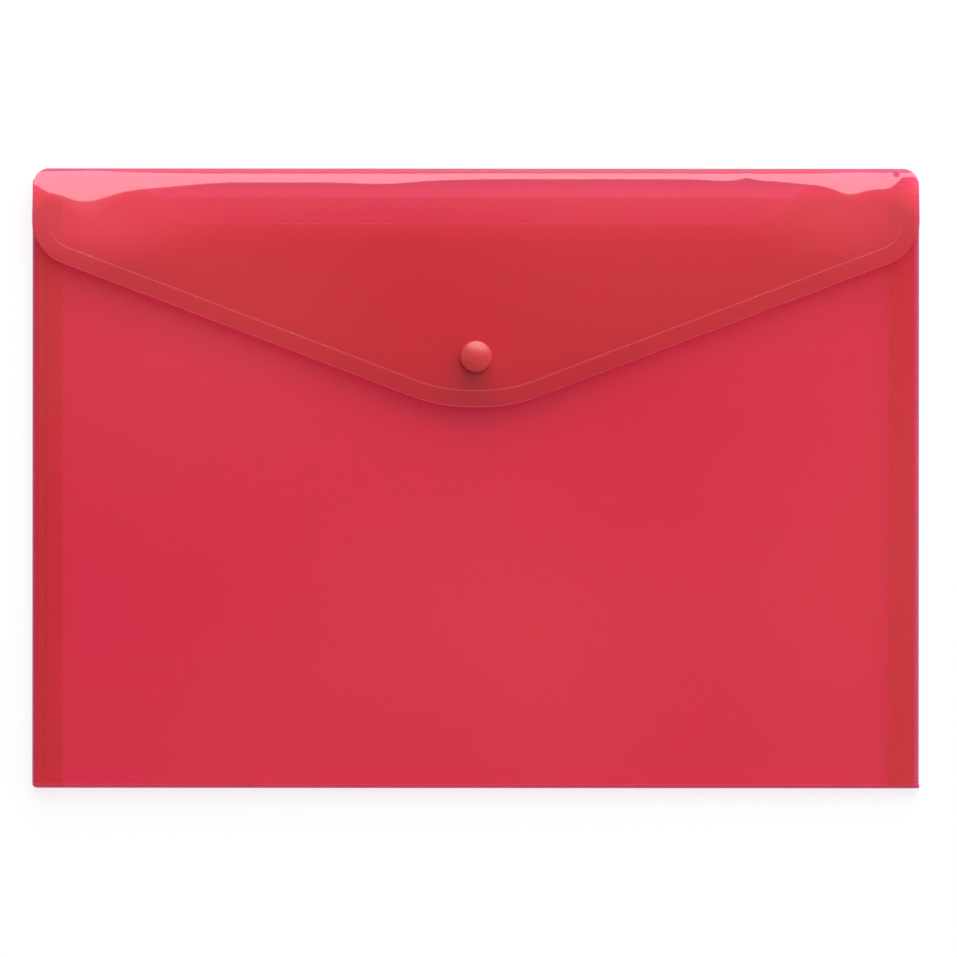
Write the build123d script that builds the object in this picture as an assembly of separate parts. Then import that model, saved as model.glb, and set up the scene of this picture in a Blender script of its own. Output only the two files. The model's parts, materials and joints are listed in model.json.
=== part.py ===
from build123d import *
import os
from math import asin, cos, radians, sin, tan

# Document wallet for A4 papers, folded from one die-cut sheet of translucent film and shut by a press stud.
# It lies on its back: X across the wallet, Y up its face to the top fold, Z up from the table. Millimetres.

# Wallet and film
wallet_width = 332.0
wallet_height = 232.0
film = 0.2
pocket_depth = 5.6
top_corner_radius = 5.3
cut_overrun = 1.0

# Flap, measured down from the top of the wallet
flap_side_drop = 31.0
flap_tip_drop = 94.2
flap_side_radius = 16.5
flap_tip_radius = 72.0
button_from_tip = 23.5

# Scored lines: the borders of the flap and of the mouth, and one down each side of the back
flap_border_inset = 6.0
mouth_border_inset = 4.2
side_score_inset = 5.1
score_width = 0.6
score_depth = 0.06

# Front panel and its mouth
shoulder_drop = 5.5
shoulder_radius = 6.0
mouth_drop = 20.6
mouth_side_margin = 56.0
mouth_slope = 45.5
mouth_low_radius = 14.0
mouth_high_radius = 6.0
front_side_setback = 2.1
front_foot_height = 1.8
foot_corner_radius = 1.1

# Side tabs and their welds to the front panel
tab_reach = 11.4
tab_top_drop = 14.0
tab_chamfer_share = 0.7
fold_relief = 0.3
weld_width = 3.0
weld_depth = 0.05

# Press stud: cap and socket on the flap, stud and back cap on the front panel
cap_diameter = 12.2
cap_height = 2.4
cap_rim = 1.3
cap_edge_radius = 1.2
back_cap_diameter = 12.2
back_cap_height = 1.1
back_cap_rim = 0.5
back_cap_edge_radius = 0.35
post_diameter = 2.6
post_clearance = 0.05
rivet_overhang = 0.6
rivet_height = 0.4
rivet_clearance = 0.1
stud_flange_diameter = 10.6
stud_flange_height = 0.5
stud_wall = 0.6
stud_undercut = 0.3
stud_undercut_height = 0.15
stud_head_height = 0.2
stud_nose_height = 0.2
stud_nose_setback = 0.25
snap_clearance = 0.1
seat_gap = 0.1
socket_web = 0.6
socket_wall = 1.0
socket_chamfer = 0.35
lip_height = 0.4
lip_ring_width = 0.7
spring_slots = 4
spring_slot_angle = 54.0
spring_slot_width = 0.5

# Press stud, worked out from the posts outwards and from the lip upwards
post_radius = post_diameter / 2
hole_radius = post_radius + post_clearance
rivet_radius = post_radius + rivet_overhang
bore_radius = rivet_radius + rivet_clearance
neck_radius = bore_radius + stud_wall
head_radius = neck_radius + stud_undercut
lip_radius = neck_radius + snap_clearance
cavity_radius = head_radius + 2 * snap_clearance
slot_radius = cavity_radius + lip_ring_width
socket_radius = slot_radius + spring_slot_width + socket_wall
neck_height = seat_gap + lip_height + snap_clearance
head_rise = stud_undercut_height + stud_head_height + stud_nose_height
cavity_height = snap_clearance + head_rise + rivet_clearance + rivet_height
socket_height = lip_height + cavity_height + socket_web

# Heights of the layers above the table
front_under = film + pocket_depth
front_top = front_under + film
flap_under = front_top + stud_flange_height + seat_gap + socket_height
flap_top = flap_under + film

# Folds: each is half round and joins two layers
top_fold_radius = flap_top / 2
bottom_fold_radius = front_top / 2
side_fold_radius = front_under / 2

# Lines on the wallet's face
top_y = wallet_height / 2
side_x = wallet_width / 2
top_crease = top_y - top_fold_radius
bottom_crease = bottom_fold_radius - top_y
side_crease = side_x - side_fold_radius
tab_top = top_y - tab_top_drop
tab_foot = bottom_crease + fold_relief
tab_edge = side_x - tab_reach
tab_chamfer = tab_chamfer_share * (side_crease - tab_edge)
shoulder_y = top_y - shoulder_drop
mouth_y = top_y - mouth_drop
mouth_low_x = side_x - mouth_side_margin
mouth_high_x = mouth_low_x + (shoulder_y - mouth_y) / tan(radians(mouth_slope))
flap_corner_y = top_y - flap_side_drop
flap_tip_y = top_y - flap_tip_drop
button_y = flap_tip_y + button_from_tip
front_side = side_x - front_side_setback


def outline(points):
    """A closed flat face through the points."""
    return make_face(Polyline(*points, close=True))


def rounded(face, corners, radius):
    """The face with the corners that lie at the given points rounded."""
    found = [min(face.vertices(), key=lambda v: (Vector(*v) - Vector(*c)).length) for c in corners]
    return fillet(found, radius)


def mirrored_pair(x, y):
    """The same point on both sides of the wallet's middle."""
    return [(-x, y), (x, y)]


def plate(face, under):
    """A flat panel of film whose lower face is at the given height."""
    return Pos(0, 0, under) * extrude(face, amount=film)


def score(face, top):
    """The tool that presses a scored line into the upper face at the given height."""
    return Pos(0, 0, top - score_depth) * extrude(face, amount=score_depth + cut_overrun)


def through_all(face):
    """The face drawn out through the whole thickness of the wallet."""
    return Pos(0, 0, -cut_overrun) * extrude(face, amount=flap_top + 2 * cut_overrun)


def fold(length, radius):
    """A half-round fold of film along X, bulging towards +Y, with its axis on the X axis."""
    ring = Circle(radius) - Circle(radius - film)
    half = ring & Pos(radius, 0) * Rectangle(2 * radius, 4 * radius)
    return extrude(Plane.YZ * half, amount=length / 2, both=True)


def turned(points):
    """A solid of revolution about Z from (radius, height) points."""
    return revolve(Plane.XZ * outline(points), axis=Axis.Z)


def dome(diameter, rim, height, edge_radius):
    """A round cap standing on Z = 0: a straight rim, a rounded edge and a shallow spherical crown."""
    radius = diameter / 2
    rise = height - rim
    ball = (radius**2 + rise**2) / (2 * rise)
    half_way = asin(radius / ball) / 2
    crown = ThreePointArc(
        (radius, rim), (ball * sin(half_way), height - ball + ball * cos(half_way)), (0, height)
    )
    sides = Polyline((0, height), (0, 0), (radius, 0), (radius, rim))
    face = rounded(make_face(crown + sides), [(radius, rim)], edge_radius)
    return revolve(Plane.XZ * face, axis=Axis.Z)


def silhouette():
    """The wallet's whole outline, rounded at its two top corners."""
    face = outline(mirrored_pair(side_x, -top_y) + mirrored_pair(side_x, top_y)[::-1])
    return rounded(face, mirrored_pair(side_x, top_y), top_corner_radius)


def flap_blank(top):
    """The flap's outline from its rounded tip up to the given height on the wallet's face."""
    tip = (0, flap_tip_y)
    left, right = mirrored_pair(side_x, flap_corner_y)
    face = outline([left, tip, right, (side_x, top), (-side_x, top)])
    return rounded(rounded(face, [left, right], flap_side_radius), [tip], flap_tip_radius)


def mouth_blank(top):
    """The shape cut from the front panel's upper edge so that papers can be gripped."""
    low = mirrored_pair(mouth_low_x, mouth_y)
    left, right = mirrored_pair(mouth_high_x, shoulder_y)
    face = outline(low + [right, (mouth_high_x, top), (-mouth_high_x, top), left])
    return rounded(face, low, mouth_low_radius)


def border(blank, inset):
    """The band that runs beside a blank's edge, at an inset that is negative inside it."""
    step = score_width if inset > 0 else -score_width
    outer = offset(blank, amount=inset + step)
    inner = offset(blank, amount=inset)
    return outer - inner if inset > 0 else inner - outer


def back_panel():
    """The flat back, full width above the side folds, with a scored line inside each side."""
    relief = tab_top + fold_relief
    face = outline(
        mirrored_pair(side_crease, bottom_crease)
        + [(side_crease, relief), (side_x, relief), (side_x, top_crease)]
        + [(-side_x, top_crease), (-side_x, relief), (-side_crease, relief)]
    )
    line = Rectangle(score_width, wallet_height, align=(Align.MAX, Align.CENTER))
    tool = score(Pos(side_x - side_score_inset, 0) * line, film)
    return plate(face & silhouette(), 0) - tool - mirror(tool, about=Plane.YZ)


def top_fold():
    """The living hinge between the back and the flap."""
    strip = Pos(0, top_crease, top_fold_radius) * fold(wallet_width + cut_overrun, top_fold_radius)
    return strip & through_all(silhouette())


def flap():
    """The flap with its post hole and the scored border beside its edge."""
    face = flap_blank(top_crease) & silhouette()
    face -= Pos(0, button_y) * Circle(hole_radius)
    line = border(flap_blank(wallet_height), -flap_border_inset)
    return plate(face, flap_under) - score(line, flap_top)


def front_panel():
    """The front with its mouth, the scored border under the mouth and the sunk weld bands."""
    waist = bottom_crease + front_foot_height
    left_foot, right_foot = mirrored_pair(side_x, bottom_crease)
    left_waist, right_waist = mirrored_pair(front_side, waist)
    left_top, right_top = mirrored_pair(front_side, shoulder_y)
    face = outline([left_foot, right_foot, right_waist, right_top, left_top, left_waist])
    face = rounded(face, [left_top, right_top], shoulder_radius)
    mouth = mouth_blank(wallet_height)
    face -= mouth
    face = rounded(face, mirrored_pair(mouth_high_x, shoulder_y), mouth_high_radius)
    face -= Pos(0, button_y) * Circle(hole_radius)
    panel = plate(face, front_under) - score(border(mouth, mouth_border_inset), front_top)
    weld = Rectangle(weld_width, tab_top - tab_chamfer - tab_foot, align=(Align.MIN, Align.MIN))
    sink = Pos(tab_edge, tab_foot, front_top - weld_depth) * extrude(weld, amount=weld_depth + cut_overrun)
    return panel - sink - mirror(sink, about=Plane.YZ)


def bottom_fold():
    """The fold at the foot, between the back and the front."""
    strip = fold(wallet_width, bottom_fold_radius)
    strip = Pos(0, bottom_crease, bottom_fold_radius) * Rot(0, 0, 180) * strip
    feet = mirrored_pair(side_x, -top_y)
    face = outline(feet + mirrored_pair(side_x, bottom_crease)[::-1])
    return strip & through_all(rounded(face, feet, foot_corner_radius))


def right_side_fold():
    """The fold between the back and the right-hand tab."""
    strip = Rot(0, 0, -90) * fold(tab_top - tab_foot, side_fold_radius)
    return Pos(side_crease, (tab_top + tab_foot) / 2, side_fold_radius) * strip


def right_side_tab():
    """The tab that lies inside the front panel and is welded to it."""
    face = outline(
        [
            (tab_edge, tab_foot),
            (side_crease, tab_foot),
            (side_crease, tab_top),
            (tab_edge + tab_chamfer, tab_top),
            (tab_edge, tab_top - tab_chamfer),
        ]
    )
    return plate(face, front_under - film)


def post(under, top):
    """A cap's post between two heights, on Z."""
    return Pos(0, 0, under) * Cylinder(
        post_radius, top - under, align=(Align.CENTER, Align.CENTER, Align.MIN)
    )


def rivet(under):
    """The head that is set on a post's end, with its lower face at the given height."""
    return Pos(0, 0, under) * Cylinder(
        rivet_radius, rivet_height, align=(Align.CENTER, Align.CENTER, Align.MIN)
    )


def button_cap():
    """The domed cap on the flap, with its post through the flap and the socket's web."""
    web_under = flap_under - socket_web
    head = dome(cap_diameter, cap_rim, cap_height, cap_edge_radius)
    return Pos(0, 0, flap_top) * head + post(web_under, flap_top) + rivet(web_under - rivet_height)


def button_socket():
    """The socket under the flap: a web, a cavity and a slotted snap lip."""
    foot = flap_under - socket_height
    lip_top = foot + lip_height
    web_under = flap_under - socket_web
    body = turned(
        [
            (hole_radius, flap_under),
            (socket_radius, flap_under),
            (socket_radius, foot + socket_chamfer),
            (socket_radius - socket_chamfer, foot),
            (lip_radius, foot),
            (lip_radius, lip_top),
            (cavity_radius, lip_top),
            (cavity_radius, web_under),
            (hole_radius, web_under),
        ]
    )
    ring = Circle(slot_radius + spring_slot_width) - Circle(slot_radius)
    spread = socket_radius * tan(radians(spring_slot_angle / 2))
    slot = ring & outline([(0, 0), (socket_radius, -spread), (socket_radius, spread)])
    cutter = Pos(0, 0, foot - cut_overrun) * extrude(slot, amount=web_under - foot + cut_overrun)
    for turn in range(spring_slots):
        body -= Rot(0, 0, turn * 360 / spring_slots) * cutter
    return body


def button_stud():
    """The stud on the front panel: a flange and a hollow boss with an undercut head."""
    flange = stud_flange_diameter / 2
    flange_top = front_top + stud_flange_height
    neck_top = flange_top + neck_height
    head_under = neck_top + stud_undercut_height
    head_top = head_under + stud_head_height
    nose = head_top + stud_nose_height
    return turned(
        [
            (hole_radius, front_top),
            (flange, front_top),
            (flange, flange_top),
            (neck_radius, flange_top),
            (neck_radius, neck_top),
            (head_radius, head_under),
            (head_radius, head_top),
            (head_radius - stud_nose_setback, nose),
            (bore_radius, nose),
            (bore_radius, flange_top),
            (hole_radius, flange_top),
        ]
    )


def button_back_cap():
    """The low cap inside the pocket, with its post through the front panel and the stud."""
    flange_top = front_top + stud_flange_height
    head = dome(back_cap_diameter, back_cap_rim, back_cap_height, back_cap_edge_radius)
    head = Pos(0, 0, front_under) * Rot(180, 0, 0) * head
    return head + post(front_under, flange_top) + rivet(flange_top)


at_button = Pos(0, button_y, 0)
right_fold = right_side_fold()
right_tab = right_side_tab()
parts = {
    "back_panel": back_panel(),
    "top_fold": top_fold(),
    "flap": flap(),
    "front_panel": front_panel(),
    "bottom_fold": bottom_fold(),
    "right_side_fold": right_fold,
    "left_side_fold": mirror(right_fold, about=Plane.YZ),
    "right_side_tab": right_tab,
    "left_side_tab": mirror(right_tab, about=Plane.YZ),
    "button_cap": at_button * button_cap(),
    "button_socket": at_button * button_socket(),
    "button_stud": at_button * button_stud(),
    "button_back_cap": at_button * button_back_cap(),
}

os.makedirs("parts", exist_ok=True)
for name, shape in parts.items():
    export_step(shape, f"parts/{name}.step")
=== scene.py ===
"""Document wallet folded from one die-cut sheet of translucent film and shut with a press stud.

Each panel of the sheet starts as a flat blank that is cut, scored and ruled, and then folded into
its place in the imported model's frame. Lengths are in metres, and the wallet lies on its back with
its face up: +X to the right, +Y up the face to the top fold, +Z out of the face.
"""
import json
import logging
import math
from dataclasses import dataclass
from enum import Enum
from typing import Callable, NamedTuple, Sequence

import bmesh
import bpy
from mathutils import Matrix, Vector
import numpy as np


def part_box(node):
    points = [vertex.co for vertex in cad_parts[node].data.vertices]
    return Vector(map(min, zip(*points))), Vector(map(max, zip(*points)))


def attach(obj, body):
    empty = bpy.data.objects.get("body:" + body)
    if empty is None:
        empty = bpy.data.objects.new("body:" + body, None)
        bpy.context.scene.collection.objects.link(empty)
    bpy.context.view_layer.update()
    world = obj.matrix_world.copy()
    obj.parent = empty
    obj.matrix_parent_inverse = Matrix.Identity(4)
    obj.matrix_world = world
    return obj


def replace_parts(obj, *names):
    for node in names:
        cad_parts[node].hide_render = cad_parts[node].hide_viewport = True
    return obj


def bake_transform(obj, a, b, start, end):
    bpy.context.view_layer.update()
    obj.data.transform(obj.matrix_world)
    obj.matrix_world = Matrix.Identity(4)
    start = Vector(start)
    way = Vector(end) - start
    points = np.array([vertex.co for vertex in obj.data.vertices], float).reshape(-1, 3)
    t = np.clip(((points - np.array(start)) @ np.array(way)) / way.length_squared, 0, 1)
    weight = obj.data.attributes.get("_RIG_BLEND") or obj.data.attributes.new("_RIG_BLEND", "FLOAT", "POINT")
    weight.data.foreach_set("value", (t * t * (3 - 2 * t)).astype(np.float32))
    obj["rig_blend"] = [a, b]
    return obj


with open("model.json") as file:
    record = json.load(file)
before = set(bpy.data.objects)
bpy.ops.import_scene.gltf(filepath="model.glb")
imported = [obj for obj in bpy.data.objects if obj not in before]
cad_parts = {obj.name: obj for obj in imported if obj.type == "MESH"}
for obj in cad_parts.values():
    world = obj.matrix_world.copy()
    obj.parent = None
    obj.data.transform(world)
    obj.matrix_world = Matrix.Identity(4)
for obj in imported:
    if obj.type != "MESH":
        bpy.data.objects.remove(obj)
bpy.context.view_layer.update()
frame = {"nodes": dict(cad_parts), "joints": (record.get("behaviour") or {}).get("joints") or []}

log = logging.getLogger("document_wallet")

MM = 0.001
Point = tuple[float, float]
Colour = tuple[float, float, float]


class Side(Enum):
    """The wallet's two sides, as the sign of X on them."""

    LEFT = -1
    RIGHT = 1


def smooth(value: float, start: float, end: float) -> float:
    """Rises smoothly from 0 at `start` to 1 at `end`, or falls if `end` comes first."""
    t = min(max((value - start) / (end - start), 0.0), 1.0)
    return t * t * (3 - 2 * t)


def fold_over(run: float, radius: float, depth: float = 1.0) -> Point:
    """Follows a sheet past a crease, round a half turn and back.

    Args:
        run: Way along the sheet past the crease, negative before it.
        radius: Radius of the fold, in the middle of the sheet.
        depth: How far the fold stands out beyond the crease, as a share of its radius.

    Returns:
        How far the point lies beyond the crease, and how far off the first panel.
    """
    if run <= 0:
        return run, 0.0
    turn = run / radius
    if turn < math.pi:
        return depth * radius * math.sin(turn), radius * (1 - math.cos(turn))
    return math.pi * radius - run, 2 * radius


def steps(start: float, end: float, pitch: float) -> list[float]:
    """Evenly spaced values between `start` and `end`, about `pitch` apart, without the two ends."""
    count = max(1, round(abs(end - start) / pitch))
    return [start + (end - start) * i / count for i in range(1, count)]


class Blank:
    """A flat piece of film, cut from a few corners and worked with mesh operators.

    Five values go with each vertex: `rim` is 1 on a cut edge, which the material draws paler as a painted
    highlight; `score` is 1 in a scored line; `fold` darkens the film on the ridge of a fold, where it is seen
    edge-on, and is painted shade where it reaches down the round of the lower folds and on the lines scored
    down the back; the glow mark is how much red glow is painted, as extra haze in place of light that comes
    through near the ends of the top fold; and `shade` is how much it dims the light on what lies below it.
    """

    cut_slop: float = 1e-7

    def __init__(self, corners: Sequence[Point]) -> None:
        """Cuts the outline.

        Args:
            corners: Corners of the outline, anticlockwise.
        """
        self.mesh = bmesh.new()
        for name in ("rim", "score", "fold", "painted_glow", "shade"):
            self.mesh.verts.layers.float.new(name)
        outline = self.mesh.faces.new([self.mesh.verts.new((x, y, 0)) for x, y in corners])
        outline.normal_update()

    def round_corner(self, corner: Point, reach: float, segments: int = 10) -> None:
        """Rounds a corner of the outline.

        Args:
            corner: Where the corner is.
            reach: How far from the corner the round starts, on both its edges.
            segments: How many straight lines make up the round.
        """
        place = Vector((*corner, 0))
        nearest = min(self.mesh.verts, key=lambda v: (v.co - place).length)
        bmesh.ops.bevel(
            self.mesh, geom=[nearest], offset=reach, offset_type="OFFSET", affect="VERTICES",
            segments=segments, profile=0.5, material=-1,
        )

    def edge_bead(self, width: float) -> None:
        """Marks the cut edge.

        Args:
            width: How far in from the edge the mark fades out.
        """
        rim = self.mesh.verts.layers.float["rim"]
        for vert in self.mesh.verts:
            vert[rim] = 1.0
        self._step_in(width, 0.0)

    def score_line(self, width: float, from_last: float) -> None:
        """Scores a line round the blank, along its edge.

        Args:
            width: Width of the line.
            from_last: How far the line's middle lies inside the last ring.
        """
        half = width / 2
        for step, score in ((from_last - width, 0.0), (half, 0.0), (half, 1.0), (half, 0.0), (half, 0.0)):
            self._step_in(step, score)

    def _step_in(self, width: float, score: float) -> None:
        """Insets the panel that's left in the middle, and marks its new outline.

        Args:
            width: How far the new outline lies inside the last one.
            score: The new outline's mark as part of a scored line.
        """
        self.mesh.faces.ensure_lookup_table()
        panel = max(self.mesh.faces, key=lambda f: f.calc_area())
        bmesh.ops.inset_region(
            self.mesh, faces=[panel], thickness=width, use_boundary=True, use_even_offset=True
        )
        rim = self.mesh.verts.layers.float["rim"]
        mark = self.mesh.verts.layers.float["score"]
        for vert in panel.verts:
            vert[rim] = 0.0
            vert[mark] = score

    def rule(self, across: Sequence[float], along: Sequence[float]) -> None:
        """Divides the sheet by straight lines, for it to bend on.

        Args:
            across: Values of x to divide it at.
            along: Values of y to divide it at.
        """
        cuts = [((x, 0, 0), (1, 0, 0)) for x in across] + [((0, y, 0), (0, 1, 0)) for y in along]
        for place, normal in cuts:
            bmesh.ops.bisect_plane(
                self.mesh, geom=[*self.mesh.verts, *self.mesh.edges, *self.mesh.faces],
                dist=self.cut_slop, plane_co=place, plane_no=normal,
            )

    def trim(self, place: Point, outward: Point) -> None:
        """Cuts off what lies beyond a straight line, where the sheet goes on as another panel."""
        bmesh.ops.bisect_plane(
            self.mesh, geom=[*self.mesh.verts, *self.mesh.edges, *self.mesh.faces],
            dist=self.cut_slop, plane_co=(*place, 0), plane_no=(*outward, 0), clear_outer=True,
        )

    def mark(self, name: str, value: Callable[[float, float], float]) -> None:
        """Marks each vertex with a value that depends on its flat place, where it's the higher one.

        Args:
            name: Name of the mark.
            value: Gives the value at a flat x and y.
        """
        layer = self.mesh.verts.layers.float[name]
        for vert in self.mesh.verts:
            vert[layer] = max(vert[layer], value(vert.co.x, vert.co.y))

    def unmark(self, name: str, where: Callable[[float, float], bool]) -> None:
        """Clears a mark from part of the sheet.

        Args:
            name: Name of the mark.
            where: Tells whether a flat x and y lies in that part.
        """
        layer = self.mesh.verts.layers.float[name]
        for vert in self.mesh.verts:
            if where(vert.co.x, vert.co.y):
                vert[layer] = 0.0

    def fold(self, place: Callable[[float, float, float], Vector]) -> None:
        """Moves each vertex to where folding takes it.

        Args:
            place: Gives that place for a flat x and y and the mark of a scored line there.
        """
        layer = self.mesh.verts.layers.float["score"]
        for vert in self.mesh.verts:
            vert.co = place(vert.co.x, vert.co.y, vert[layer])

    def made_into(self, name: str, film: float, *materials: bpy.types.Material) -> bpy.types.Object:
        """Turns the folded mid plane into a closed sheet.

        Args:
            name: Name of the piece.
            film: Thickness of the sheet.
            materials: What its faces are made of, and its cut edge if that is different.

        Returns:
            The piece, in place in the row frame.
        """
        bmesh.ops.recalc_face_normals(self.mesh, faces=self.mesh.faces[:])
        for face in self.mesh.faces:
            face.smooth = True
        data = bpy.data.meshes.new(name)
        self.mesh.to_mesh(data)
        self.mesh.free()
        for material in materials:
            data.materials.append(material)
        piece = bpy.data.objects.new(name, data)
        bpy.context.scene.collection.objects.link(piece)
        shell = piece.modifiers.new("film", "SOLIDIFY")
        shell.thickness = film
        shell.offset = 0.0
        shell.material_offset_rim = len(materials) - 1
        return piece


class Nodes:
    """A material's node tree, with short ways to add nodes and link them."""

    def __init__(self, tree: bpy.types.NodeTree) -> None:
        """Empties the tree."""
        self.tree = tree
        tree.nodes.clear()

    def add(self, kind: str, **inputs: object) -> bpy.types.Node:
        """Adds a node, and sets or links its inputs.

        Args:
            kind: Kind of node.
            inputs: Values or outputs for its inputs, by name, with underscores for spaces.

        Returns:
            The node.
        """
        node = self.tree.nodes.new(kind)
        for name, value in inputs.items():
            self.feed(node.inputs[name.replace("_", " ")], value)
        return node

    def feed(self, socket: bpy.types.NodeSocket, value: object) -> None:
        """Links an output to a socket, or sets its value.

        Args:
            socket: The input to feed.
            value: An output, or a value.
        """
        if isinstance(value, bpy.types.NodeSocket):
            self.tree.links.new(value, socket)
        else:
            socket.default_value = value

    def math(self, operation: str, *values: object) -> bpy.types.NodeSocket:
        """Adds a Math node.

        Args:
            operation: What it does.
            values: Its values, or outputs to take them from.

        Returns:
            Its result.
        """
        node = self.tree.nodes.new("ShaderNodeMath")
        node.operation = operation
        for socket, value in zip(node.inputs, values):
            self.feed(socket, value)
        return node.outputs[0]

    def blend(self, share: object, first: object, second: object) -> bpy.types.NodeSocket:
        """Mixes two colours.

        Args:
            share: Share of the second colour.
            first: The first colour.
            second: The second colour.

        Returns:
            The mixed colour.
        """
        node = self.tree.nodes.new("ShaderNodeMix")
        node.data_type = "RGBA"
        self.feed(node.inputs["Factor"], share)
        self.feed(node.inputs["A"], first)
        self.feed(node.inputs["B"], second)
        return node.outputs["Result"]

    def noise(self, scale: float, detail: float) -> bpy.types.NodeSocket:
        """Soft noise over the piece's own coordinates."""
        place = self.add("ShaderNodeTexCoord").outputs["Object"]
        return self.add("ShaderNodeTexNoise", Vector=place, Scale=scale, Detail=detail).outputs["Fac"]

    def mark(self, name: str) -> bpy.types.NodeSocket:
        """Reads a value that the mesh carries.

        Args:
            name: Name of the mark.

        Returns:
            The value.
        """
        node = self.tree.nodes.new("ShaderNodeAttribute")
        node.attribute_name = name
        return node.outputs["Fac"]

    def mix_shader(self, share: object, first: object, second: object) -> bpy.types.NodeSocket:
        """Mixes two shaders.

        Args:
            share: Share of the second shader.
            first: The first shader.
            second: The second shader.

        Returns:
            The mixed shader.
        """
        node = self.tree.nodes.new("ShaderNodeMixShader")
        for socket, value in zip(node.inputs, (share, first, second)):
            self.feed(socket, value)
        return node.outputs[0]


@dataclass(frozen=True)
class FilmFinish:
    """Clear tinted film: what each of its two faces lets through, mirrors and scatters."""

    passed: Colour = (0.976, 0.50, 0.71)
    passed_pale: Colour = (1.0, 0.70, 0.86)
    # What a fold's ridge lets through: darker as the film there is seen edge-on, and painted shade where the
    # lower folds' mark reaches down their round and on the back's scored lines.
    passed_folded_and_shaded: Colour = (0.84, 0.38, 0.61)
    passed_slanting: Colour = (0.30, 0.04, 0.12)
    passed_shading: Colour = (0.72, 0.48, 0.66)
    scattered: Colour = (0.95, 0.33, 0.24)
    scattered_pale: Colour = (1.0, 0.34, 0.36)
    # Painted light: colour of the red glow painted near the ends of the top fold.
    scattered_painted_glow: Colour = (1.0, 0.07, 0.14)
    haze: float = 0.06
    pale_haze: float = 0.08
    # Painted light: how much haze the painted glow adds.
    painted_glow_haze: float = 0.22
    # Painted highlight: how much paler the cut edges are drawn, as if they caught the light.
    rim_painted_highlight: float = 0.05
    cloud_size: float = 0.11
    cloud_depth: float = 0.5
    mirror: float = 0.045
    grazing_mirror: float = 0.35
    roughness: float = 0.06
    slant_power: float = 6.0
    mirror_power: float = 5.0

    def material(self, name: str) -> bpy.types.Material:
        """Builds the film's material.

        Args:
            name: Name of the material.

        Returns:
            The material.
        """
        made = bpy.data.materials.new(name)
        made.use_nodes = True
        n = Nodes(made.node_tree)
        facing = n.add("ShaderNodeLayerWeight", Blend=0.5).outputs["Facing"]
        patch = n.noise(1 / self.cloud_size, 0.0)
        # Cut edges are drawn paler as a painted highlight; scored lines are paler in themselves.
        pale = n.math("MAXIMUM", n.math("MULTIPLY", n.mark("rim"), self.rim_painted_highlight), n.mark("score"))
        tint = n.blend(pale, (*self.passed, 1), (*self.passed_pale, 1))
        # Darker on fold ridges, seen edge-on, with painted shade on the lower folds' round and on the back's
        # scored lines.
        tint = n.blend(n.mark("fold"), tint, (*self.passed_folded_and_shaded, 1))
        tint = n.blend(n.math("POWER", facing, self.slant_power), tint, (*self.passed_slanting, 1))
        ray = n.add("ShaderNodeLightPath").outputs
        lighting = n.math("MAXIMUM", ray["Is Shadow Ray"], ray["Is Diffuse Ray"])
        shade = n.math("MULTIPLY", n.mark("shade"), lighting)
        tint = n.blend(shade, tint, (*self.passed_shading, 1))
        clear = n.add("ShaderNodeBsdfTransparent", Color=tint)
        thick, thin = self.haze * (1 + self.cloud_depth), self.haze * (1 - self.cloud_depth)
        cloudy = n.math("MULTIPLY_ADD", patch, thick - thin, thin)
        # Painted glow: extra red haze where the film is marked for it, in place of light that comes through
        # near the ends of the top fold.
        glow_haze = n.math("MULTIPLY", n.mark("painted_glow"), self.painted_glow_haze)
        haze = n.math("ADD", n.math("MULTIPLY_ADD", pale, self.pale_haze, cloudy), glow_haze)
        colour = n.blend(pale, (*self.scattered, 1), (*self.scattered_pale, 1))
        colour = n.blend(n.math("DIVIDE", glow_haze, haze), colour, (*self.scattered_painted_glow, 1))
        body = n.add("ShaderNodeBsdfDiffuse", Color=colour)
        sheet = n.mix_shader(haze, clear.outputs[0], body.outputs[0])
        shine = n.add("ShaderNodeBsdfGlossy", Color=(1, 1, 1, 1), Roughness=self.roughness)
        rise = self.grazing_mirror - self.mirror
        mirror = n.math("MULTIPLY_ADD", n.math("POWER", facing, self.mirror_power), rise, self.mirror)
        shader = n.mix_shader(mirror, sheet, shine.outputs[0])
        n.add("ShaderNodeOutputMaterial", Surface=shader)
        return made


@dataclass(frozen=True)
class MouldedFinish:
    """Moulded plastic of the press stud, with the film's colour but hardly see-through."""

    colour: Colour = (0.56, 0.046, 0.048)
    deep: Colour = (0.47, 0.034, 0.036)
    roughness: float = 0.18
    roughness_spread: float = 0.1
    grain_scale: float = 700.0
    grain_detail: float = 3.0
    grain_depth: float = 0.2 * MM
    grain_strength: float = 0.05

    def material(self, name: str) -> bpy.types.Material:
        """Builds the plastic's material.

        Args:
            name: Name of the material.

        Returns:
            The material.
        """
        made = bpy.data.materials.new(name)
        made.use_nodes = True
        n = Nodes(made.node_tree)
        grain = n.noise(self.grain_scale, self.grain_detail)
        bump = n.add("ShaderNodeBump", Strength=self.grain_strength, Distance=self.grain_depth, Height=grain)
        body = n.add(
            "ShaderNodeBsdfPrincipled",
            Base_Color=n.blend(grain, (*self.colour, 1), (*self.deep, 1)),
            Roughness=n.math("MULTIPLY_ADD", grain, self.roughness_spread, self.roughness),
            Normal=bump.outputs[0],
        )
        n.add("ShaderNodeOutputMaterial", Surface=body.outputs[0])
        return made


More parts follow.
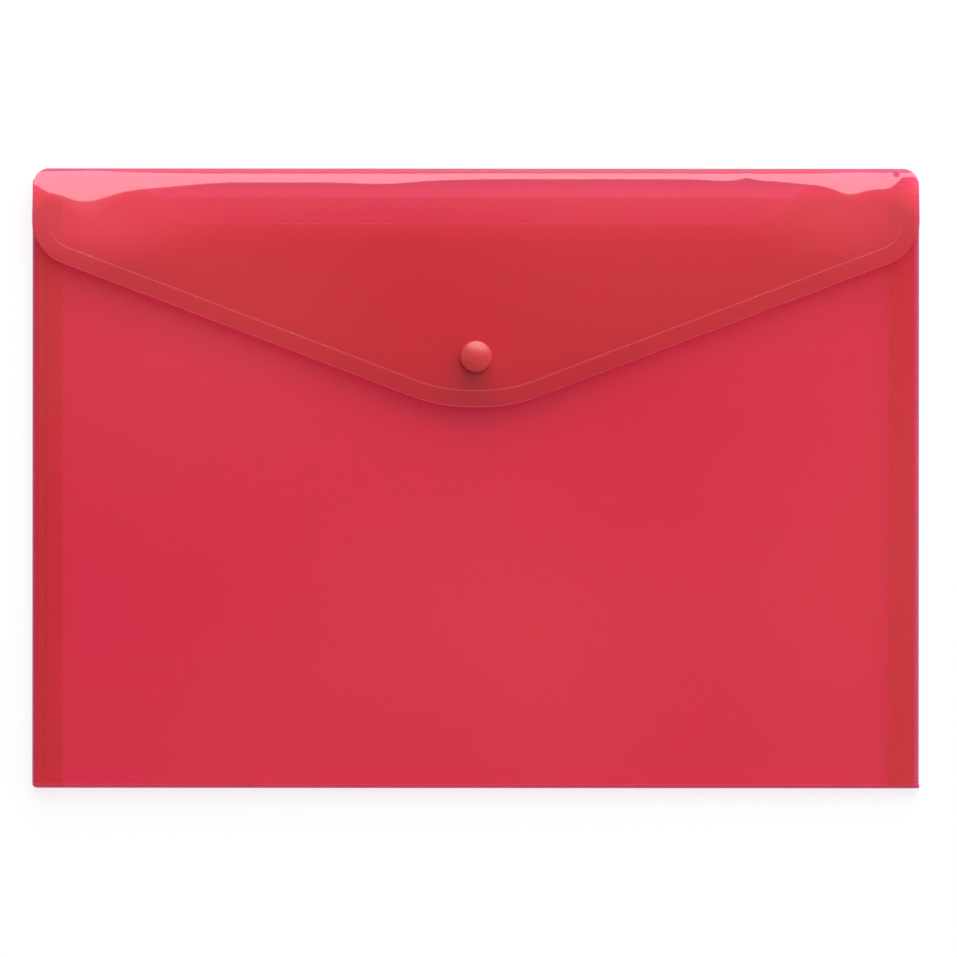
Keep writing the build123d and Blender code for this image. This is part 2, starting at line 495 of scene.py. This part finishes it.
@dataclass
class Wallet:
    """Places that the sheets share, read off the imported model.

    A hair's gap keeps the welded tabs' faces from lying in the front panel's. The tabs and the side
    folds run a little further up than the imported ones, as far as the welds do. The folds at the sides
    and the foot are pressed flatter than half round, so their creases lie nearer the outline.
    """

    weld_gap: float = 0.1 * MM
    tab_rise: float = 5.0 * MM
    fold_depth: float = 0.5
    fold_pitch: float = 0.7 * MM
    # The bottom and side folds' ridge mark reaches far down their round, as painted shade over the light that
    # gets in under those folds.
    ridge_turn: Point = (math.radians(88), math.radians(20))
    pull_radii: float = 3.0
    button_hold: Point = (8 * MM, 45 * MM)

    def __post_init__(self) -> None:
        """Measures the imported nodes."""
        back_low, back_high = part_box("back_panel")
        tab_low, tab_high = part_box("right_side_tab")
        self.film: float = back_high.z - back_low.z
        self.half_width: float = back_high.x
        self.top_crease: float = back_high.y
        self.tab_edge: float = tab_low.x
        self.tab_top: float = tab_high.y + self.tab_rise
        self.tab_z: float = (tab_low.z + tab_high.z) / 2 - self.weld_gap
        self.back_z: float = (back_low.z + back_high.z) / 2
        self.front_z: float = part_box("front_panel")[1].z - self.film / 2
        pressed = (1 - self.fold_depth) / 2
        lower = pressed * (self.front_z - self.back_z)
        self.bottom_crease: float = back_low.y - lower
        self.tab_foot: float = tab_low.y - lower
        self.side_crease: float = tab_high.x + pressed * (self.tab_z - self.back_z)
        self.front_top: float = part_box("front_panel")[1].y
        self.front_foot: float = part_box("bottom_fold")[1].x
        self.flap_z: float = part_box("flap")[1].z - self.film / 2
        self.flap_tip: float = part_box("flap")[0].y
        self.top_edge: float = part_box("top_fold")[1].y
        self.button: Vector = sum(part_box("button_cap"), Vector()) / 2

    def round_button(self, x: float, y: float) -> float:
        """0 at the press stud, where the sheets are held, rising to 1 away from it."""
        return smooth(math.hypot(x - self.button.x, y - self.button.y), *self.button_hold)


class Ramp(NamedTuple):
    """A stretch towards one side over which the top fold's round gets wider, or narrower."""

    side: Side
    start: float
    end: float
    more: float


class Swell(NamedTuple):
    """A short place where the top fold's round is wider, or narrower."""

    middle: float
    width: float
    more: float


class PaintedGlow(NamedTuple):
    """A painted glow near both ends of the top fold: red haze painted in place of light that comes through
    there, by a share on each.
    """

    left: float
    right: float
    from_side: float
    width: float
    drop: float
    height: float


@dataclass
class FlapSheet:
    """The top fold and the pointed flap, in one sheet that swings on the fold."""

    wallet: Wallet
    corner_drop: float = 31.35 * MM
    side_reach: float = 11.6 * MM
    tip_reach: float = 24.2 * MM
    tip_beyond: float = 5.35 * MM
    edge: float = 0.32 * MM
    border: float = 6.3 * MM
    border_width: float = 0.5 * MM
    border_depth: float = 0.06 * MM
    score_drop: float = 23.0 * MM
    corner_radius: float = 6.3 * MM
    taper: float = 0.4 * MM
    crease_z: float = 1.6 * MM
    seam: float = 0.02 * MM
    spare: float = 20.0 * MM
    tip_segments: int = 16
    side_segments: int = 12
    bend: float = 10.0 * MM
    bend_pitch: float = 0.5 * MM
    slope: float = 30.0 * MM
    slope_pitch: float = 1.4 * MM
    flat_pitch: float = 4.5 * MM
    column_pitch: float = 1.3 * MM
    least_round: float = 4.0 * MM
    ramps: tuple[Ramp, ...] = (
        Ramp(Side.LEFT, -10 * MM, 45 * MM, 1.75 * MM),
        Ramp(Side.LEFT, 88 * MM, 148 * MM, 5.4 * MM),
        Ramp(Side.LEFT, 159 * MM, 166 * MM, -4.6 * MM),
        Ramp(Side.RIGHT, 92 * MM, 156 * MM, 4.8 * MM),
        Ramp(Side.RIGHT, 153.5 * MM, 161.5 * MM, -5.8 * MM),
    )
    swells: tuple[Swell, ...] = (
        Swell(-144.7 * MM, 9 * MM, 8.4 * MM),
        Swell(-34 * MM, 12 * MM, 0.8 * MM),
        Swell(92 * MM, 7 * MM, 0.8 * MM),
        Swell(101.5 * MM, 2.6 * MM, -1.2 * MM),
        Swell(139.8 * MM, 6 * MM, 3.6 * MM),
    )
    slack_start: Point = (95 * MM, 150 * MM)
    slack_reach: float = 26.0 * MM
    corner_slack_reach: float = 16.0 * MM
    slack_drop: float = 1.64 * MM
    corner_slack_drop: float = 0.6 * MM
    # Painted glows below the top fold's ends, in place of light that comes through there.
    painted_glows: tuple[PaintedGlow, ...] = (
        PaintedGlow(1.0, 0.35, 29 * MM, 30 * MM, 21 * MM, 14 * MM),
        PaintedGlow(1.0, 1.0, 0.0, 8 * MM, 11 * MM, 6 * MM),
    )
    shade_share: float = 0.4
    tip_shade_share: float = 0.5
    shade_fade: Point = (15 * MM, 3 * MM)
    tip_shade_fade: Point = (75 * MM, 10 * MM)
    side_shade_fade: float = 26.0 * MM
    ridge_turn: Point = (math.radians(32), math.radians(3))
    hinge_low: float = 0.3 * MM
    hinge_high: float = 6.5 * MM

    def __post_init__(self) -> None:
        """Works out the fold's radius, in the middle of the sheet."""
        self.radius = (self.wallet.flap_z - self.wallet.back_z) / 2

    def blank(self) -> Blank:
        """Cuts, scores and rules the flat sheet.

        Returns:
            The blank, whose fold strip runs on above the flap.
        """
        w = self.wallet
        top = w.top_crease + math.pi * self.radius
        side = w.top_edge - self.corner_drop
        tip = (0.0, w.flap_tip - self.tip_beyond)
        right = (w.half_width, side)
        left = (-w.half_width, side)
        sheet = Blank([left, tip, right, (w.half_width, top + self.spare), (-w.half_width, top + self.spare)])
        sheet.round_corner(tip, self.tip_reach, self.tip_segments)
        for corner in (left, right):
            sheet.round_corner(corner, self.side_reach, self.side_segments)
        sheet.edge_bead(self.edge)
        sheet.score_line(self.border_width, self.border - self.edge)
        sheet.trim((0.0, top - self.seam), (0.0, 1.0))
        bend = w.top_crease - self.bend
        slope = w.top_crease - self.slope
        rows = steps(top, w.top_crease, w.fold_pitch) + [w.top_crease]
        rows += steps(w.top_crease, bend, self.bend_pitch)
        rows += steps(bend, slope, self.slope_pitch)
        rows += steps(slope, w.flap_tip, self.flat_pitch)
        sheet.rule(steps(-w.half_width, w.half_width, self.column_pitch), rows)
        sheet.unmark("score", lambda x, y: y > w.top_edge - self.score_drop)
        return sheet

    def run_up(self, x: float) -> float:
        """How wide the fold's round is, which swells towards the corners as the film is stiff.

        Args:
            x: Way across the wallet.

        Returns:
            How far in from the top edge the round ends.
        """
        reach = self.least_round
        for ramp in self.ramps:
            reach += ramp.more * smooth(ramp.side.value * x, ramp.start, ramp.end)
        for swell in self.swells:
            reach += swell.more * math.exp(-(((x - swell.middle) / swell.width) ** 2))
        return reach

    def slack(self, x: float, inward: float) -> float:
        """How far the flap droops towards the top edge.

        Args:
            x: Way across the wallet.
            inward: Way in from the top edge.

        Returns:
            How far the flap still lies below its height there.
        """
        corner = smooth(abs(x), *self.slack_start)
        reach = self.slack_reach + self.corner_slack_reach * corner
        share = max(1 - inward / reach, 0.0)
        return (self.slack_drop + self.corner_slack_drop * corner) * share * share

    def place(self, x: float, y: float, score: float) -> Vector:
        """Folds the sheet.

        Args:
            x: Way across the flat sheet.
            y: Way up the flat sheet.
            score: Mark of a scored line there.

        Returns:
            Where that point of the sheet ends up.
        """
        w = self.wallet
        run = y - w.top_crease
        beyond, drop = fold_over(run, self.radius)
        inward = self.radius - beyond
        if run < self.radius * math.pi / 2:
            share = max(1 - inward / self.run_up(x), 0.0)
            climb = w.flap_z - self.crease_z - self.slack(x, 0.0)
            z = w.flap_z - self.slack(x, inward) - climb * (1 - math.sqrt(1 - share * share))
        else:
            z = w.back_z + (self.crease_z - w.back_z) * (2 - drop / self.radius)
        beyond += w.top_crease
        return Vector((self.drawn_in(x, beyond), beyond, z - self.border_depth * score))

    def drawn_in(self, x: float, y: float) -> float:
        """Pulls the fold's ends in to the rounded corners of the wallet's outline.

        Args:
            x: Way across the wallet.
            y: Way up the wallet.

        Returns:
            The way across that the point is pulled in to.
        """
        w = self.wallet
        over = min(max(y - w.top_edge + self.corner_radius, 0.0), self.corner_radius)
        pull = self.corner_radius - math.sqrt(self.corner_radius**2 - over**2)
        pull += self.taper * smooth(y, w.top_edge - self.corner_drop, w.top_edge)
        share = smooth(abs(x), w.half_width - w.pull_radii * self.corner_radius, w.half_width)
        return math.copysign(abs(x) - pull * share, x)

    def painted_glow(self, x: float, y: float) -> float:
        """Paints a red glow of extra haze below the fold's two ends, more so on the left, in place of light
        that comes through there.

        Args:
            x: Way across the flat sheet.
            y: Way up the flat sheet.

        Returns:
            How much glow is painted there, from 0 to 1.
        """
        w = self.wallet
        brightened = 0.0
        for patch in self.painted_glows:
            share = patch.left if x < 0 else patch.right
            across = (abs(x) - w.half_width + patch.from_side) / patch.width
            down = (w.top_edge - y - patch.drop) / patch.height
            brightened = max(brightened, share * math.exp(-across * across - down * down))
        return brightened

    def shade(self, x: float, y: float) -> float:
        """Lets the border dim the light that slants in under its edge, most of all at the tip.

        Args:
            x: Way across the flat sheet.
            y: Way up the flat sheet.

        Returns:
            How much it dims the light there, from 0 to 1.
        """
        w = self.wallet
        tip = w.flap_tip - self.tip_beyond
        slope = (w.top_edge - self.corner_drop - tip) / w.half_width
        inside = y - max(tip + slope * abs(x), w.flap_tip)
        share = self.shade_share + self.tip_shade_share * smooth(abs(x), *self.tip_shade_fade)
        share *= smooth(abs(x), w.half_width, w.half_width - self.side_shade_fade)
        return share * smooth(inside, *self.shade_fade)

    def ridge(self, x: float, y: float) -> float:
        """How near the flat sheet is to the ridge of the fold, from 0 to 1."""
        turn = (y - self.wallet.top_crease) / self.radius
        return smooth(abs(turn - math.pi / 2), *self.ridge_turn)

    def build(self, *materials: bpy.types.Material) -> bpy.types.Object:
        """Makes the piece, which bends between the pocket and the flap.

        Args:
            materials: What its faces are made of, and its cut edge.

        Returns:
            The piece.
        """
        sheet = self.blank()
        # Marks where the red glow is painted.
        sheet.mark("painted_glow", self.painted_glow)
        sheet.mark("shade", self.shade)
        sheet.mark("fold", self.ridge)
        sheet.fold(self.place)
        piece = sheet.made_into("flap_sheet", self.wallet.film, *materials)
        hinge = Vector(frame["joints"][0]["pos_m"])
        low = (hinge.x, hinge.y, self.hinge_low)
        high = (hinge.x, hinge.y, self.hinge_high)
        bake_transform(piece, "pocket", "flap", low, high)
        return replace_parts(piece, "top_fold", "flap")


@dataclass
class BodySheet:
    """The back, the bottom fold and the front panel with its cut-out mouth, in one sheet."""

    wallet: Wallet
    side_setback: float = 2.1 * MM
    foot_height: float = 1.8 * MM
    mouth_drop: float = 15.1 * MM
    mouth_low: float = 110.0 * MM
    mouth_high: float = 124.84 * MM
    low_reach: float = 5.5 * MM
    high_reach: float = 3.6 * MM
    shoulder_reach: float = 8.0 * MM
    edge: float = 0.5 * MM
    border: float = 4.5 * MM
    border_width: float = 0.7 * MM
    border_depth: float = 0.06 * MM
    side_score: float = 5.0 * MM
    side_score_width: float = 1.1 * MM
    relief: float = 0.3 * MM
    billow: float = 0.35 * MM
    tuck: float = 0.9 * MM
    left_corner: float = 2.3 * MM
    right_corner: float = 0.4 * MM
    spare: float = 20.0 * MM
    back_pitch: float = 8.0 * MM
    front_pitch: float = 5.0 * MM
    column_pitch: float = 5.5 * MM
    border_end: float = 2.0 * MM
    rim_start: float = 1.0 * MM
    # Painted shade on the back's scored lines, on the left and on the right.
    left_line_painted_shade: float = 0.9
    right_line_painted_shade: float = 0.2
    foot_hold: float = 40.0 * MM
    weld_hold: Point = (4 * MM, 60 * MM)
    wave_length: Point = (38 * MM, 52 * MM)
    wave_shift: Point = (0.6, -0.4)
    tuck_height: float = 12.0 * MM
    tuck_hold: Point = (1 * MM, 6 * MM)

    def __post_init__(self) -> None:
        """Works out the bottom fold's radius and where the front panel starts in the flat sheet."""
        self.radius = (self.wallet.front_z - self.wallet.back_z) / 2
        self.front_start = self.wallet.bottom_crease - math.pi * self.radius

    def flat(self, y: float) -> float:
        """The place in the flat sheet of a height on the front panel."""
        return self.front_start - (y - self.wallet.bottom_crease)

    def blank(self) -> Blank:
        """Cuts, scores and rules the flat sheet.

        Returns:
            The blank, whose front panel hangs below the back.
        """
        w = self.wallet
        side = w.half_width - self.side_setback
        mouth = self.flat(w.front_top - self.mouth_drop)
        shoulder = self.flat(w.front_top)
        low = (self.mouth_low, mouth)
        high = (self.mouth_high, shoulder)
        corner = (side, shoulder)
        half = [
            low, high, corner,
            (side, self.flat(w.bottom_crease + self.foot_height)),
            (w.front_foot, self.front_start),
            (w.front_foot, w.bottom_crease),
            (w.side_crease, w.bottom_crease),
            (w.side_crease, w.tab_top + self.relief),
            (w.half_width, w.tab_top + self.relief),
            (w.half_width, w.top_crease + self.spare),
        ]
        sheet = Blank(half + [(-x, y) for x, y in reversed(half)])
        for sign in (one.value for one in Side):
            sheet.round_corner((sign * low[0], low[1]), self.low_reach)
            sheet.round_corner((sign * high[0], high[1]), self.high_reach)
            sheet.round_corner((sign * corner[0], corner[1]), self.shoulder_reach)
        sheet.edge_bead(self.edge)
        sheet.score_line(self.border_width, self.border - self.edge)
        sheet.trim((0.0, w.top_crease), (0.0, 1.0))
        rows = steps(w.top_crease, w.bottom_crease, self.back_pitch) + [w.bottom_crease]
        rows += steps(w.bottom_crease, self.front_start, w.fold_pitch) + [self.front_start]
        rows += steps(self.front_start, shoulder, self.front_pitch)
        columns = steps(-w.half_width, w.half_width, self.column_pitch)
        line = w.half_width - self.side_score
        for place in (line + i * self.side_score_width / 2 for i in range(-2, 3)):
            columns += [-place, place]
        sheet.rule(columns, rows)
        foot = mouth + self.border + self.border_width
        sheet.unmark("score", lambda x, y: y > foot or abs(x) > self.mouth_high + self.border_end)
        sheet.unmark("rim", lambda x, y: self.front_start + self.rim_start < y < w.tab_top)
        sheet.mark("score", self.scored)
        # Paints shade on the back's scored lines.
        sheet.mark("fold", self.painted_line_shade)
        return sheet

    def scored(self, x: float, y: float) -> float:
        """1 on the lines scored down the back."""
        line = self.wallet.half_width - self.side_score
        return float(y > self.wallet.bottom_crease and abs(abs(x) - line) < self.side_score_width / 4)

    def painted_line_shade(self, x: float, y: float) -> float:
        """Painted shade on the lines scored down the back, strong on the left and faint on the right, where
        the light falls from the right.
        """
        return self.scored(x, y) * (self.left_line_painted_shade if x < 0 else self.right_line_painted_shade)

    def ridge(self, x: float, y: float) -> float:
        """How near the flat sheet is to the ridge of the fold, from 0 to 1."""
        turn = (self.wallet.bottom_crease - y) / self.radius
        return smooth(abs(turn - math.pi / 2), *self.wallet.ridge_turn)

    def place(self, x: float, y: float, score: float) -> Vector:
        """Folds the sheet.

        Args:
            x: Way across the flat sheet.
            y: Way up the flat sheet.
            score: Mark of a scored line there.

        Returns:
            Where that point of the sheet ends up.
        """
        w = self.wallet
        beyond, rise = fold_over(w.bottom_crease - y, self.radius, w.fold_depth)
        spot = Vector((x, w.bottom_crease - beyond, w.back_z + rise))
        spot.x = self.drawn_in(x, spot.y)
        spot.z += math.copysign(self.border_depth * score, y - w.bottom_crease)
        if y < self.front_start:
            spot.z += self.billows(x, spot.y)
        return spot

    def drawn_in(self, x: float, y: float) -> float:
        """Pulls the bottom fold's ends in to the lower corners, of which the left one is rounder.

        Args:
            x: Way across the wallet.
            y: Way up the wallet.

        Returns:
            The way across that the point is pulled in to.
        """
        w = self.wallet
        radius = self.left_corner if x < 0 else self.right_corner
        over = min(max(w.bottom_crease - w.fold_depth * self.radius + radius - y, 0.0), radius)
        pull = radius - math.sqrt(radius**2 - over**2)
        share = smooth(abs(x), w.front_foot - w.pull_radii * radius, w.front_foot)
        return math.copysign(abs(x) - pull * share, x)

    def billows(self, x: float, y: float) -> float:
        """Bends the front panel: it waves a little, and the flap presses its shoulders down.

        Args:
            x: Way across the wallet.
            y: Way up the wallet.

        Returns:
            How far the panel stands off its plane there.
        """
        w = self.wallet
        inside = w.tab_edge - abs(x)
        free = w.round_button(x, y) * smooth(y, w.bottom_crease, w.bottom_crease + self.foot_hold)
        free *= smooth(inside, *self.weld_hold)
        wave = 1.0
        for way, length, shift in zip((x, y), self.wave_length, self.wave_shift):
            wave *= math.sin(way / length + shift)
        pressed = smooth(y, w.front_top - self.tuck_height, w.front_top) * smooth(inside, *self.tuck_hold)
        return self.billow * free * wave - self.tuck * pressed

    def build(self, material: bpy.types.Material) -> bpy.types.Object:
        """Makes the piece, which stays with the pocket.

        Args:
            material: What it is made of.

        Returns:
            The piece.
        """
        sheet = self.blank()
        sheet.mark("fold", self.ridge)
        sheet.fold(self.place)
        piece = sheet.made_into("body_sheet", self.wallet.film, material)
        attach(piece, "pocket")
        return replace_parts(piece, "back_panel", "bottom_fold", "front_panel")


@dataclass
class SideSheet:
    """One side's fold and the tab inside the front panel, in one sheet."""

    wallet: Wallet
    side: Side
    chamfer: float = 3.0 * MM
    edge: float = 0.5 * MM
    seam: float = 0.02 * MM
    spare: float = 10.0 * MM
    row_pitch: float = 8.0 * MM

    def __post_init__(self) -> None:
        """Works out the fold's radius, in the middle of the sheet."""
        self.radius = (self.wallet.tab_z - self.wallet.back_z) / 2

    def blank(self) -> Blank:
        """Cuts and rules the flat sheet.

        Returns:
            The blank, whose x runs outwards from the crease on the back.
        """
        w = self.wallet
        fold = math.pi * self.radius
        end = fold + w.side_crease - w.tab_edge
        sheet = Blank([
            (-self.spare, w.tab_foot), (end, w.tab_foot), (end, w.tab_top - self.chamfer),
            (end - self.chamfer, w.tab_top), (-self.spare, w.tab_top),
        ])
        sheet.edge_bead(self.edge)
        sheet.trim((self.seam, 0.0), (-1.0, 0.0))
        sheet.rule(steps(0.0, fold, w.fold_pitch) + [fold], steps(w.tab_foot, w.tab_top, self.row_pitch))
        return sheet

    def ridge(self, x: float, y: float) -> float:
        """How near the flat sheet is to the ridge of the fold, from 0 to 1."""
        return smooth(abs(x / self.radius - math.pi / 2), *self.wallet.ridge_turn)

    def place(self, x: float, y: float, score: float) -> Vector:
        """Folds the sheet.

        Args:
            x: Way across the flat sheet.
            y: Way up the flat sheet.
            score: Mark of a scored line there, which is not used.

        Returns:
            Where that point of the sheet ends up.
        """
        w = self.wallet
        beyond, rise = fold_over(x, self.radius, w.fold_depth)
        return Vector((self.side.value * (w.side_crease + beyond), y, w.back_z + rise))

    def build(self, *materials: bpy.types.Material) -> bpy.types.Object:
        """Makes the piece, which stays with the pocket.

        Args:
            materials: What its faces are made of, and its cut edge.

        Returns:
            The piece.
        """
        name = self.side.name.lower()
        sheet = self.blank()
        sheet.mark("fold", self.ridge)
        sheet.fold(self.place)
        piece = sheet.made_into(f"{name}_side_sheet", self.wallet.film, *materials)
        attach(piece, "pocket")
        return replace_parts(piece, f"{name}_side_fold", f"{name}_side_tab")


@dataclass
class WeldRibs:
    """The row of low bars that the welding tool leaves on the front panel, along one tab."""

    wallet: Wallet
    side: Side
    length: float = 3.0 * MM
    width: float = 0.7 * MM
    height: float = 0.06 * MM
    sunk: float = 0.02 * MM
    pitch: float = 1.5 * MM
    top_gap: float = 3.5 * MM

    def build(self, material: bpy.types.Material) -> bpy.types.Object:
        """Makes the piece, which stays with the pocket.

        Args:
            material: What it is made of.

        Returns:
            The piece.
        """
        w = self.wallet
        mesh = bmesh.new()
        middle = self.side.value * (w.tab_edge + self.length / 2)
        height = w.front_z + w.film / 2 + self.height / 2 - self.sunk
        for y in steps(w.tab_foot, w.tab_top - self.top_gap, self.pitch):
            size = Vector((self.length, self.width, self.height))
            bmesh.ops.create_cube(
                mesh, size=1.0, matrix=Matrix.LocRotScale(Vector((middle, y, height)), None, size)
            )
        name = f"{self.side.name.lower()}_weld_ribs"
        data = bpy.data.meshes.new(name)
        mesh.to_mesh(data)
        mesh.free()
        data.materials.append(material)
        piece = bpy.data.objects.new(name, data)
        bpy.context.scene.collection.objects.link(piece)
        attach(piece, "pocket")
        return piece


@dataclass(frozen=True)
class PressStud:
    """The four mouldings of the press stud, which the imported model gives."""

    nodes: tuple[str, ...] = ("button_cap", "button_socket", "button_stud", "button_back_cap")

    def dress(self, material: bpy.types.Material) -> list[bpy.types.Object]:
        """Gives the mouldings their plastic.

        Args:
            material: What they are made of.

        Returns:
            The mouldings.
        """
        dressed = []
        for name in self.nodes:
            piece = frame["nodes"][name]
            piece.data.materials.clear()
            piece.data.materials.append(material)
            dressed.append(piece)
        return dressed


@dataclass(frozen=True)
class Softbox:
    """A large flat light, aimed at the wallet from some way off.

    Its slant is from straight overhead and its turn is from the wallet's top edge to the right,
    both in degrees. Gloss shows it if it is mirrored.
    """

    name: str
    slant: float
    turn: float
    size: Point
    radiance: float
    mirrored: bool = True
    distance: float = 3.0

    def towards(self) -> Vector:
        """Points from the wallet to the light.

        Returns:
            The direction.
        """
        slant = math.radians(self.slant)
        turn = math.radians(self.turn)
        across = math.sin(slant)
        return Vector((across * math.sin(turn), across * math.cos(turn), math.cos(slant)))

    def build(self) -> None:
        """Makes the light."""
        data = bpy.data.lights.new(self.name, "AREA")
        data.shape = "RECTANGLE"
        data.size, data.size_y = self.size
        data.energy = self.radiance * math.pi * data.size * data.size_y
        light = bpy.data.objects.new(self.name, data)
        light.location = self.towards() * self.distance
        light.visible_glossy = self.mirrored
        light.rotation_mode = "QUATERNION"
        light.rotation_quaternion = self.towards().to_track_quat("Z", "Y")
        bpy.context.scene.collection.objects.link(light)


@dataclass(frozen=True)
class Studio:
    """A pale floor, soft light from above the wallet's top edge and a camera straight over it."""

    lens: float = 300.0
    sensor: float = 36.0
    seen_width: float = 357.9 * MM
    aim: Point = (1.05 * MM, -0.09 * MM)
    roll: float = 0.04
    face: float = 6.0 * MM
    floor_gap: float = 0.3 * MM
    floor_colour: Colour = (0.95, 0.95, 0.95)
    floor_glow: float = 0.8
    floor_half: float = 2.0
    see_through_faces: int = 40
    sky: float = 0.15
    glow: float = 0.90
    glow_reach: Point = (55.0, 28.0)
    key: Softbox = Softbox("key", slant=55.0, turn=10.0, size=(2.9, 3.9), radiance=3.75)
    side: Softbox = Softbox(
        "side", slant=62.0, turn=78.0, size=(4.6, 3.4), radiance=1.1, mirrored=False
    )

    def build(self) -> None:
        """Makes the floor, the lights and the camera."""
        scene = bpy.context.scene
        self._floor()
        self._sky()
        self.key.build()
        self.side.build()
        data = bpy.data.cameras.new("camera")
        data.lens = self.lens
        data.sensor_width = self.sensor
        camera = bpy.data.objects.new("camera", data)
        camera.location = (*self.aim, self.face + self.seen_width * self.lens / self.sensor)
        camera.rotation_euler.z = math.radians(self.roll)
        scene.collection.objects.link(camera)
        scene.camera = camera
        scene.view_settings.view_transform = "Standard"
        scene.cycles.transparent_max_bounces = self.see_through_faces

    def _floor(self) -> None:
        """A plain floor just under the wallet."""
        mesh = bmesh.new()
        bmesh.ops.create_grid(mesh, x_segments=1, y_segments=1, size=self.floor_half)
        bmesh.ops.translate(mesh, verts=mesh.verts[:], vec=(0, 0, -self.floor_gap))
        data = bpy.data.meshes.new("floor")
        mesh.to_mesh(data)
        mesh.free()
        made = bpy.data.materials.new("floor")
        made.use_nodes = True
        n = Nodes(made.node_tree)
        body = n.add("ShaderNodeBsdfDiffuse", Color=(*self.floor_colour, 1))
        white = n.add("ShaderNodeEmission", Color=(1, 1, 1, 1), Strength=1.0)
        ray = n.add("ShaderNodeLightPath").outputs
        bare = n.math("MULTIPLY", ray["Is Camera Ray"], n.math("LESS_THAN", ray["Transparent Depth"], 0.5))
        share = n.math("MULTIPLY", n.math("MAXIMUM", bare, ray["Is Glossy Ray"]), self.floor_glow)
        n.add("ShaderNodeOutputMaterial", Surface=n.mix_shader(share, body.outputs[0], white.outputs[0]))
        data.materials.append(made)
        floor = bpy.data.objects.new("floor", data)
        bpy.context.scene.collection.objects.link(floor)

    def _sky(self) -> None:
        """A dim grey room that brightens softly towards the key light."""
        world = bpy.data.worlds.new("sky")
        world.use_nodes = True
        n = Nodes(world.node_tree)
        ray = n.add("ShaderNodeTexCoord").outputs["Generated"]
        near = n.tree.nodes.new("ShaderNodeVectorMath")
        near.operation = "DOT_PRODUCT"
        n.feed(near.inputs[0], ray)
        n.feed(near.inputs[1], self.key.towards())
        rise = n.tree.nodes.new("ShaderNodeMapRange")
        rise.interpolation_type = "SMOOTHSTEP"
        far, close = (math.cos(math.radians(angle)) for angle in self.glow_reach)
        for name, value in (
            ("Value", near.outputs["Value"]), ("From Min", far), ("From Max", close),
            ("To Min", self.sky), ("To Max", self.sky + self.glow),
        ):
            n.feed(rise.inputs[name], value)
        light = n.add("ShaderNodeBackground", Color=(1, 1, 1, 1), Strength=rise.outputs["Result"])
        n.add("ShaderNodeOutputWorld", Surface=light.outputs[0])
        bpy.context.scene.world = world


def main() -> None:
    """Builds the wallet and its studio."""
    logging.basicConfig(level=logging.INFO, format="%(name)s: %(message)s")
    wallet = Wallet()
    film = FilmFinish().material("red_film")
    edge = FilmFinish(passed_slanting=FilmFinish.passed).material("red_film_edge")
    rib = FilmFinish(passed=(0.99, 0.86, 0.92), haze=0.03, mirror=0.01).material("red_film_rib")
    pieces = [
        FlapSheet(wallet).build(film, edge),
        BodySheet(wallet).build(film),
        *[SideSheet(wallet, side).build(film, edge) for side in Side],
        *[WeldRibs(wallet, side).build(rib) for side in Side],
        *PressStud().dress(MouldedFinish().material("red_button")),
    ]
    for piece in pieces:
        log.info("%s: %d faces", piece.name, len(piece.data.polygons))
    Studio().build()


if __name__ == "__main__":
    main()
